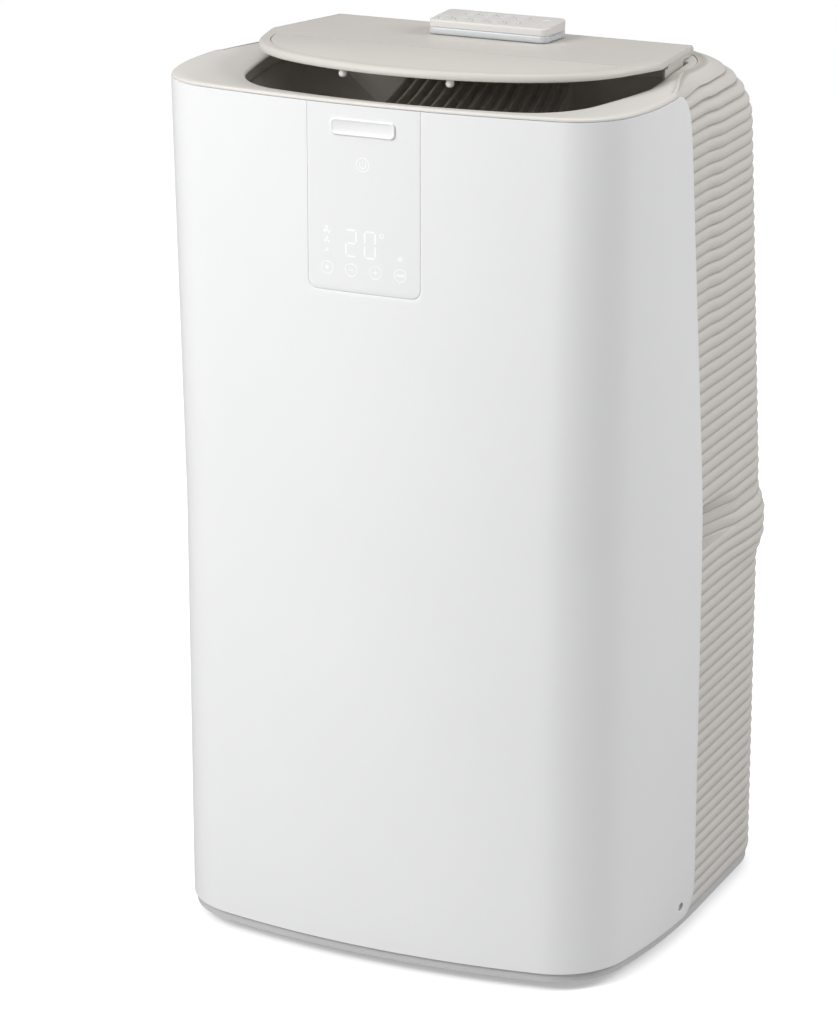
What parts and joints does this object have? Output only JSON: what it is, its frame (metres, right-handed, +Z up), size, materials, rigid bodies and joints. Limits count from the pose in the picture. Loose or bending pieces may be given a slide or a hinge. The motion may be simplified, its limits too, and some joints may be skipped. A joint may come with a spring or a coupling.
{
  "type": "portable air conditioner",
  "caption": "Upright portable air conditioner on casters: bowed white front shell, ribbed rear housing with side grips, lifting top outlet flap and a small remote control.",
  "frame": {"origin": "on the floor, under the middle of the cabinet's box", "axes": "+Z up, front with the display facing -Y, +X to the viewer's right from the front"},
  "size_m": [0.452, 0.404, 0.7849],
  "materials": {
    "shell_white": "smooth satin-gloss white moulding",
    "display_white": "smooth white panel with lighter printed symbols",
    "trim_greige": "fine satin warm light grey moulding",
    "nameplate_white": "glossy white",
    "rib_greige": "fine matte warm grey moulding",
    "base_grey": "matte grey moulding",
    "duct_dark": "matte warm mid grey, dark only because it is deep inside",
    "inner_black": "matte black",
    "rubber_dark": "matte rubber",
    "bumper_white": "soft white rubber",
    "steel": "bright steel",
    "painted_steel": "satin black paint",
    "copper": "bright copper",
    "fin_aluminium": "thin bare fins",
    "box_plastic": "matte grey",
    "circuit_board": "green board",
    "caster_plastic": "matte dark grey",
    "caster_tread": "firm grey tread",
    "remote_greige": "fine satin",
    "remote_white": "satin cool light grey",
    "button_grey": "soft satin"
  },
  "bodies": {
    "root": {"base_pan": "base_grey", "front_shell": "shell_white", "display_panel": "display_white", "display_board": "circuit_board", "nameplate": "nameplate_white", "top_ring": "trim_greige", "outlet_duct": "duct_dark", "outlet_grille": "duct_dark", "rear_housing": "rib_greige", "condensate_tray": "inner_black", "exhaust_collar": "inner_black", "condenser_coil": "fin_aluminium", "evaporator_coil": "fin_aluminium", "compressor": "painted_steel", "compressor_feet": "rubber_dark", "accumulator": "painted_steel", "refrigerant_pipes": "copper", "evaporator_blower_housing": "inner_black", "evaporator_motor": "painted_steel", "condenser_blower_housing": "inner_black", "condenser_motor": "painted_steel", "control_box": "box_plastic", "cable_inlet": "inner_black", "housing_screws": "steel", "flap_hinge_pins": "steel", "flap_motor": "painted_steel"},
    "flap": {"flap_plate": "trim_greige", "flap_inset": "trim_greige", "flap_bumpers": "bumper_white"},
    "evaporator_fan": {"evaporator_blower_wheel": "inner_black", "evaporator_blower_shaft": "steel"},
    "condenser_fan": {"condenser_blower_wheel": "inner_black", "condenser_blower_shaft": "steel"},
    "upper_intake": {"upper_intake_grille": "rib_greige", "upper_filter": "inner_black"},
    "lower_intake": {"lower_intake_grille": "rib_greige", "lower_filter": "inner_black"},
    "upper_plug": {"upper_drain_plug": "rubber_dark"},
    "lower_plug": {"lower_drain_plug": "rubber_dark"},
    "remote": {"remote_top": "remote_greige", "remote_bottom": "remote_white", "remote_board": "circuit_board"},
    "battery_tray": {"remote_battery_tray": "remote_white"},
    "swivel_front_left": {"caster_fork_front_left": "caster_plastic"},
    "wheel_front_left": {"caster_wheel_front_left": "caster_tread"},
    "swivel_front_right": {"caster_fork_front_right": "caster_plastic"},
    "wheel_front_right": {"caster_wheel_front_right": "caster_tread"},
    "swivel_rear_left": {"caster_fork_rear_left": "caster_plastic"},
    "wheel_rear_left": {"caster_wheel_rear_left": "caster_tread"},
    "swivel_rear_right": {"caster_fork_rear_right": "caster_plastic"},
    "wheel_rear_right": {"caster_wheel_rear_right": "caster_tread"},
    "button_1": {"remote_button_1": "button_grey"},
    "button_2": {"remote_button_2": "button_grey"},
    "button_3": {"remote_button_3": "button_grey"},
    "button_4": {"remote_button_4": "button_grey"},
    "button_5": {"remote_button_5": "button_grey"},
    "button_6": {"remote_button_6": "button_grey"},
    "button_7": {"remote_button_7": "button_grey"},
    "button_8": {"remote_button_8": "button_grey"},
    "button_9": {"remote_button_9": "button_grey"}
  },
  "joints": [
    {"name": "flap_hinge", "type": "hinge", "parent": "root", "child": "flap", "pos_m": [0, 0.084, 0.748], "axis": [-1, 0, 0], "range_deg": [-3.6, 12]},
    {"name": "evaporator_fan_spin", "type": "hinge", "parent": "root", "child": "evaporator_fan", "pos_m": [0, 0.0535, 0.512], "axis": [0, 1, 0], "continuous": true},
    {"name": "condenser_fan_spin", "type": "hinge", "parent": "root", "child": "condenser_fan", "pos_m": [0.08, 0.085, 0.2], "axis": [0, 1, 0], "continuous": true},
    {"name": "upper_intake_slide", "type": "slide", "parent": "root", "child": "upper_intake", "axis": [0, 1, 0], "range_m": [0, 0.06]},
    {"name": "lower_intake_slide", "type": "slide", "parent": "root", "child": "lower_intake", "axis": [0, 1, 0], "range_m": [0, 0.06]},
    {"name": "upper_plug_pull", "type": "slide", "parent": "root", "child": "upper_plug", "axis": [0, 1, 0], "range_m": [0, 0.03]},
    {"name": "lower_plug_pull", "type": "slide", "parent": "root", "child": "lower_plug", "axis": [0, 1, 0], "range_m": [0, 0.02]},
    {"name": "remote_lift", "type": "slide", "parent": "flap", "child": "remote", "axis": [0, 0.048, 0.9988], "range_m": [0, 0.08]},
    {"name": "battery_tray_slide", "type": "slide", "parent": "remote", "child": "battery_tray", "axis": [1, 0, 0], "range_m": [0, 0.024]},
    {"name": "swivel_front_left_turn", "type": "hinge", "parent": "root", "child": "swivel_front_left", "pos_m": [-0.155, -0.128, 0.05], "axis": [0, 0, 1], "continuous": true},
    {"name": "wheel_front_left_roll", "type": "hinge", "parent": "swivel_front_left", "child": "wheel_front_left", "pos_m": [-0.155, -0.116, 0.02], "axis": [1, 0, 0], "continuous": true},
    {"name": "swivel_front_right_turn", "type": "hinge", "parent": "root", "child": "swivel_front_right", "pos_m": [0.155, -0.128, 0.05], "axis": [0, 0, 1], "continuous": true},
    {"name": "wheel_front_right_roll", "type": "hinge", "parent": "swivel_front_right", "child": "wheel_front_right", "pos_m": [0.155, -0.116, 0.02], "axis": [1, 0, 0], "continuous": true},
    {"name": "swivel_rear_left_turn", "type": "hinge", "parent": "root", "child": "swivel_rear_left", "pos_m": [-0.15, 0.138, 0.05], "axis": [0, 0, 1], "continuous": true},
    {"name": "wheel_rear_left_roll", "type": "hinge", "parent": "swivel_rear_left", "child": "wheel_rear_left", "pos_m": [-0.15, 0.15, 0.02], "axis": [1, 0, 0], "continuous": true},
    {"name": "swivel_rear_right_turn", "type": "hinge", "parent": "root", "child": "swivel_rear_right", "pos_m": [0.15, 0.138, 0.05], "axis": [0, 0, 1], "continuous": true},
    {"name": "wheel_rear_right_roll", "type": "hinge", "parent": "swivel_rear_right", "child": "wheel_rear_right", "pos_m": [0.15, 0.15, 0.02], "axis": [1, 0, 0], "continuous": true},
    {"name": "button_1_press", "type": "slide", "parent": "remote", "child": "button_1", "axis": [0, 0.0279, -0.9996], "range_m": [0, 0.0007], "stiffness_N_per_m": 300, "springref_m": -0.0006},
    {"name": "button_2_press", "type": "slide", "parent": "remote", "child": "button_2", "axis": [0, 0.0279, -0.9996], "range_m": [0, 0.0007], "stiffness_N_per_m": 300, "springref_m": -0.0006},
    {"name": "button_3_press", "type": "slide", "parent": "remote", "child": "button_3", "axis": [0, 0.0279, -0.9996], "range_m": [0, 0.0007], "stiffness_N_per_m": 300, "springref_m": -0.0006},
    {"name": "button_4_press", "type": "slide", "parent": "remote", "child": "button_4", "axis": [0, 0.0279, -0.9996], "range_m": [0, 0.0007], "stiffness_N_per_m": 300, "springref_m": -0.0006},
    {"name": "button_5_press", "type": "slide", "parent": "remote", "child": "button_5", "axis": [0, 0.0279, -0.9996], "range_m": [0, 0.0007], "stiffness_N_per_m": 300, "springref_m": -0.0006},
    {"name": "button_6_press", "type": "slide", "parent": "remote", "child": "button_6", "axis": [0, 0.0279, -0.9996], "range_m": [0, 0.0007], "stiffness_N_per_m": 300, "springref_m": -0.0006},
    {"name": "button_7_press", "type": "slide", "parent": "remote", "child": "button_7", "axis": [0, 0.0279, -0.9996], "range_m": [0, 0.0007], "stiffness_N_per_m": 300, "springref_m": -0.0006},
    {"name": "button_8_press", "type": "slide", "parent": "remote", "child": "button_8", "axis": [0, 0.0279, -0.9996], "range_m": [0, 0.0007], "stiffness_N_per_m": 300, "springref_m": -0.0006},
    {"name": "button_9_press", "type": "slide", "parent": "remote", "child": "button_9", "axis": [0, 0.0279, -0.9996], "range_m": [0, 0.0007], "stiffness_N_per_m": 300, "springref_m": -0.0006}
  ]
}
